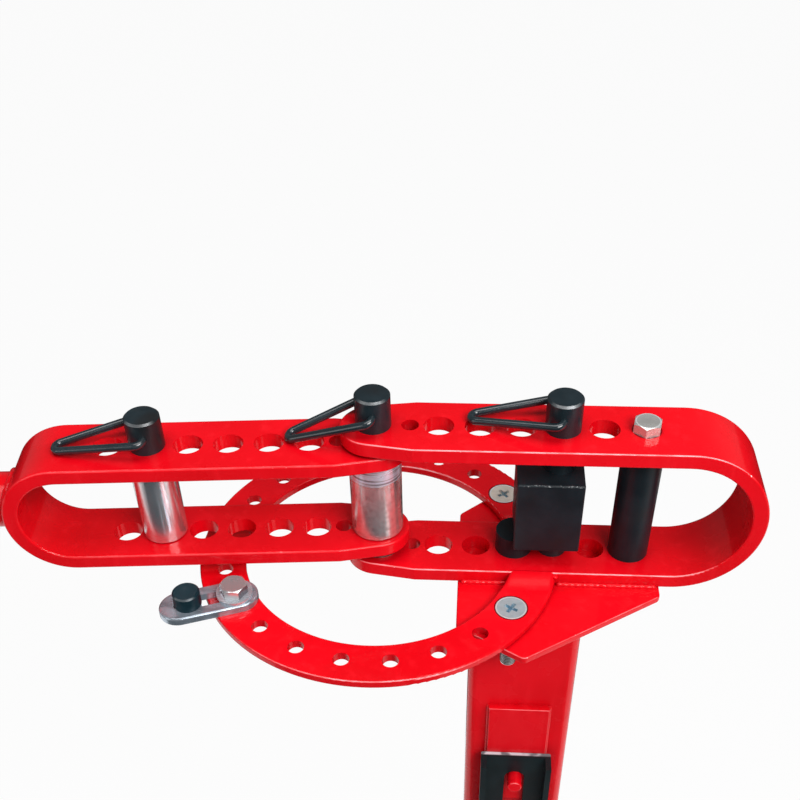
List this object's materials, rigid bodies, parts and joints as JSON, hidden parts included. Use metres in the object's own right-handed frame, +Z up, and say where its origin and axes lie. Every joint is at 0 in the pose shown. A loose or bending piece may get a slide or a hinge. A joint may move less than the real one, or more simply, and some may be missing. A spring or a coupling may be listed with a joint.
{
  "type": "manual metal bender",
  "caption": "Hand-operated bender for flat and round bar: a fixed U frame on a post stand, a pivoting U arm with lift-out pins and dies, and a drilled ring with an adjustable stop.",
  "frame": {"origin": "on the floor, at the middle of the base plate and on the axis of the post", "axes": "+X along the fixed frame away from the pivot, +Y to the back, +Z up"},
  "size_m": [1.0363, 0.42, 1.043],
  "materials": {
    "red_enamel": "glossy red enamel",
    "black_steel": "satin black oxide",
    "turned_steel": "turned bright steel",
    "zinc": "zinc plated",
    "grip": "matt black"
  },
  "bodies": {
    "stand": {"base_plate": "red_enamel", "post": "red_enamel", "gusset_right": "red_enamel", "gusset_rear": "red_enamel", "gusset_left": "red_enamel", "gusset_front": "red_enamel", "mounting_plate": "red_enamel", "holder_pad": "red_enamel", "holder_peg": "red_enamel", "fixed_frame": "red_enamel", "ring": "red_enamel", "ring_screw_front": "zinc", "ring_screw_rear": "zinc", "ring_nut_front": "zinc", "ring_nut_rear": "zinc", "thrust_washer": "turned_steel", "spacer": "black_steel", "spacer_bolt": "zinc", "block": "black_steel", "block_peg": "black_steel", "link_washer": "zinc", "link_bolt": "zinc", "link_nut": "zinc"},
    "arm": {"swing_arm": "red_enamel", "handle_tube": "red_enamel", "handle_bar": "turned_steel", "handle_grip": "grip", "handle_screw": "zinc"},
    "centre_pin": {"centre_pin": "black_steel"},
    "centre_bail": {"centre_bail": "black_steel"},
    "centre_die": {"centre_die": "turned_steel"},
    "right_pin": {"right_pin": "black_steel"},
    "right_bail": {"right_bail": "black_steel"},
    "left_pin": {"left_pin": "black_steel"},
    "left_bail": {"left_bail": "black_steel"},
    "left_die": {"left_die": "turned_steel"},
    "link": {"stop_link": "zinc"},
    "stop": {"stop_pin": "black_steel", "stop_washer": "zinc", "stop_nut": "zinc"},
    "channel": {"hung_channel": "black_steel"}
  },
  "joints": [
    {"name": "arm_swing", "type": "hinge", "parent": "stand", "child": "arm", "pos_m": [-0.12, 0, 0.9545], "axis": [0, 0, 1], "range_deg": [-150, 6]},
    {"name": "centre_pin_lift", "type": "slide", "parent": "stand", "child": "centre_pin", "axis": [0, 0, 1], "range_m": [0, 0.13]},
    {"name": "centre_bail_raise", "type": "hinge", "parent": "centre_pin", "child": "centre_bail", "pos_m": [-0.12, 0, 1.03], "axis": [-0.0349, 0.9994, 0], "range_deg": [0, 140]},
    {"name": "centre_die_spin", "type": "hinge", "parent": "arm", "child": "centre_die", "pos_m": [-0.12, 0, 0.9545], "axis": [0, 0, 1], "continuous": true},
    {"name": "right_pin_lift", "type": "slide", "parent": "stand", "child": "right_pin", "axis": [0, 0, 1], "range_m": [0, 0.13]},
    {"name": "right_bail_raise", "type": "hinge", "parent": "right_pin", "child": "right_bail", "pos_m": [0.018, 0, 1.03], "axis": [0.1045, 0.9945, 0], "range_deg": [0, 140]},
    {"name": "left_pin_lift", "type": "slide", "parent": "arm", "child": "left_pin", "axis": [0, 0, 1], "range_m": [0, 0.105]},
    {"name": "left_bail_raise", "type": "hinge", "parent": "left_pin", "child": "left_bail", "pos_m": [-0.2875, -0.01289, 1.016], "axis": [-0.1461, 0.9893, 0], "range_deg": [0, 140]},
    {"name": "left_die_spin", "type": "hinge", "parent": "arm", "child": "left_die", "pos_m": [-0.2875, -0.01289, 0.9545], "axis": [0, 0, 1], "continuous": true},
    {"name": "link_swivel", "type": "hinge", "parent": "stand", "child": "link", "pos_m": [-0.22618, -0.06405, 0.898], "axis": [0, 0, 1], "range_deg": [-8, 30]},
    {"name": "stop_slide", "type": "slide", "parent": "link", "child": "stop", "axis": [-0.9397, -0.342, 0], "range_m": [-0.004, 0.004]},
    {"name": "channel_lift", "type": "slide", "parent": "stand", "child": "channel", "axis": [0, 0, 1], "range_m": [0, 0.085]}
  ]
}
